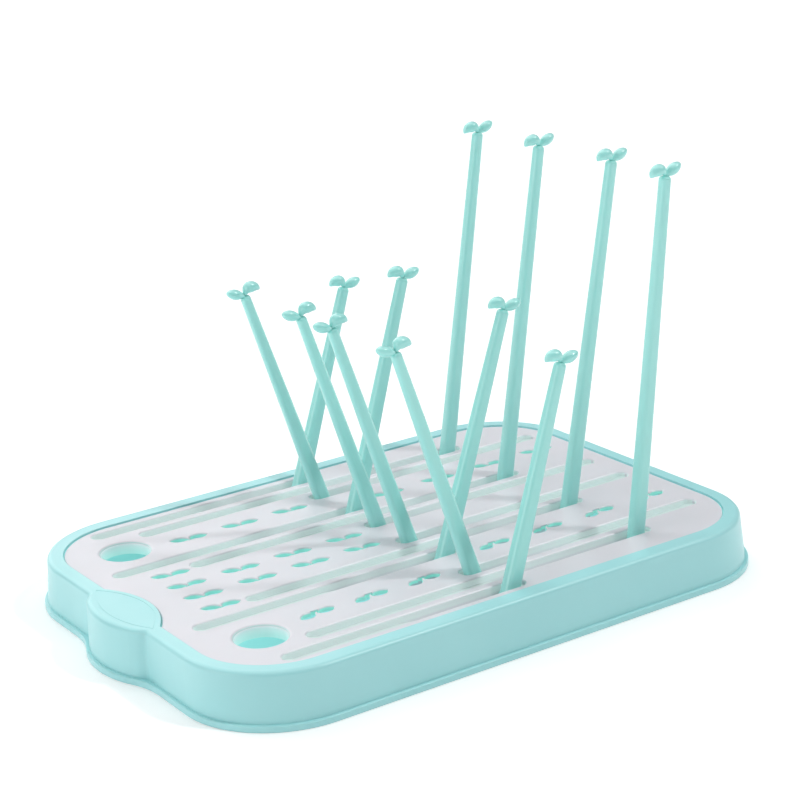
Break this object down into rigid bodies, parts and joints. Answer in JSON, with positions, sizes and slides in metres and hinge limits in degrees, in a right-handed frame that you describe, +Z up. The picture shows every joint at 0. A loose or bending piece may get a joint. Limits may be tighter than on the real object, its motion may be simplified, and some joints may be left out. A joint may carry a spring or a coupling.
{
  "type": "bottle drying rack",
  "caption": "Countertop drying rack for baby bottles: a drip tray with a thumb bulge, a lift-out grooved board and folding pegs with sprout-shaped tips.",
  "frame": {"origin": "under the middle of the overall box, on the plane that the tray's lip stands on", "axes": "+X along the rack, from the thumb bulge at the front to the tall pegs; +Y to the left across the rack; +Z up"},
  "size_m": [0.3604, 0.2584, 0.2285],
  "materials": {
    "tray_plastic": "satin-gloss pale mint polypropylene",
    "peg_plastic": "satin-gloss pale mint polypropylene",
    "board_plastic": "satin white polypropylene",
    "steel": "drawn stainless steel"
  },
  "bodies": {
    "tray": {"drip_tray": "tray_plastic"},
    "board": {"grille_board": "board_plastic", "short_peg_axle": "steel", "tall_peg_axle": "steel", "short_axle_keeper_left": "board_plastic", "short_axle_keeper_right": "board_plastic", "tall_axle_keeper_left": "board_plastic", "tall_axle_keeper_right": "board_plastic", "keeper_screws": "steel"},
    "peg_a_rear": {"peg_a_rear": "peg_plastic"},
    "peg_a_tall": {"peg_a_tall": "peg_plastic"},
    "peg_a_front": {"peg_a_front": "peg_plastic"},
    "peg_b_rear": {"peg_b_rear": "peg_plastic"},
    "peg_b_tall": {"peg_b_tall": "peg_plastic"},
    "peg_b_front": {"peg_b_front": "peg_plastic"},
    "peg_c_rear": {"peg_c_rear": "peg_plastic"},
    "peg_c_tall": {"peg_c_tall": "peg_plastic"},
    "peg_c_front": {"peg_c_front": "peg_plastic"},
    "peg_d_rear": {"peg_d_rear": "peg_plastic"},
    "peg_d_tall": {"peg_d_tall": "peg_plastic"},
    "peg_d_front": {"peg_d_front": "peg_plastic"}
  },
  "joints": [
    {"name": "board_lift", "type": "slide", "parent": "tray", "child": "board", "axis": [0, 0, 1], "range_m": [0, 0.06]},
    {"name": "peg_a_rear_fold", "type": "hinge", "parent": "board", "child": "peg_a_rear", "pos_m": [0.0062, 0.1045, 0.0217], "axis": [0, -1, 0], "range_deg": [0, 102.64]},
    {"name": "peg_a_tall_fold", "type": "hinge", "parent": "board", "child": "peg_a_tall", "pos_m": [0.1032, 0.0899, 0.0217], "axis": [0, -1, 0], "range_deg": [0, 96]},
    {"name": "peg_a_front_fold", "type": "hinge", "parent": "board", "child": "peg_a_front", "pos_m": [0.0062, 0.0753, 0.0217], "axis": [0, 1, 0], "range_deg": [0, 101.76]},
    {"name": "peg_b_rear_fold", "type": "hinge", "parent": "board", "child": "peg_b_rear", "pos_m": [0.0062, 0.0449, 0.0217], "axis": [0, -1, 0], "range_deg": [0, 102.26]},
    {"name": "peg_b_tall_fold", "type": "hinge", "parent": "board", "child": "peg_b_tall", "pos_m": [0.1032, 0.0303, 0.0217], "axis": [0, -1, 0], "range_deg": [0, 96]},
    {"name": "peg_b_front_fold", "type": "hinge", "parent": "board", "child": "peg_b_front", "pos_m": [0.0062, 0.0157, 0.0217], "axis": [0, 1, 0], "range_deg": [0, 101.76]},
    {"name": "peg_c_rear_fold", "type": "hinge", "parent": "board", "child": "peg_c_rear", "pos_m": [0.0062, -0.0449, 0.0217], "axis": [0, -1, 0], "range_deg": [0, 104.06]},
    {"name": "peg_c_tall_fold", "type": "hinge", "parent": "board", "child": "peg_c_tall", "pos_m": [0.1032, -0.0303, 0.0217], "axis": [0, -1, 0], "range_deg": [0, 97.1]},
    {"name": "peg_c_front_fold", "type": "hinge", "parent": "board", "child": "peg_c_front", "pos_m": [0.0062, -0.0157, 0.0217], "axis": [0, 1, 0], "range_deg": [0, 101.76]},
    {"name": "peg_d_rear_fold", "type": "hinge", "parent": "board", "child": "peg_d_rear", "pos_m": [0.0062, -0.1045, 0.0217], "axis": [0, -1, 0], "range_deg": [0, 101.84]},
    {"name": "peg_d_tall_fold", "type": "hinge", "parent": "board", "child": "peg_d_tall", "pos_m": [0.1032, -0.0899, 0.0217], "axis": [0, -1, 0], "range_deg": [0, 93.5]},
    {"name": "peg_d_front_fold", "type": "hinge", "parent": "board", "child": "peg_d_front", "pos_m": [0.0062, -0.0753, 0.0217], "axis": [0, 1, 0], "range_deg": [0, 101.76]}
  ]
}
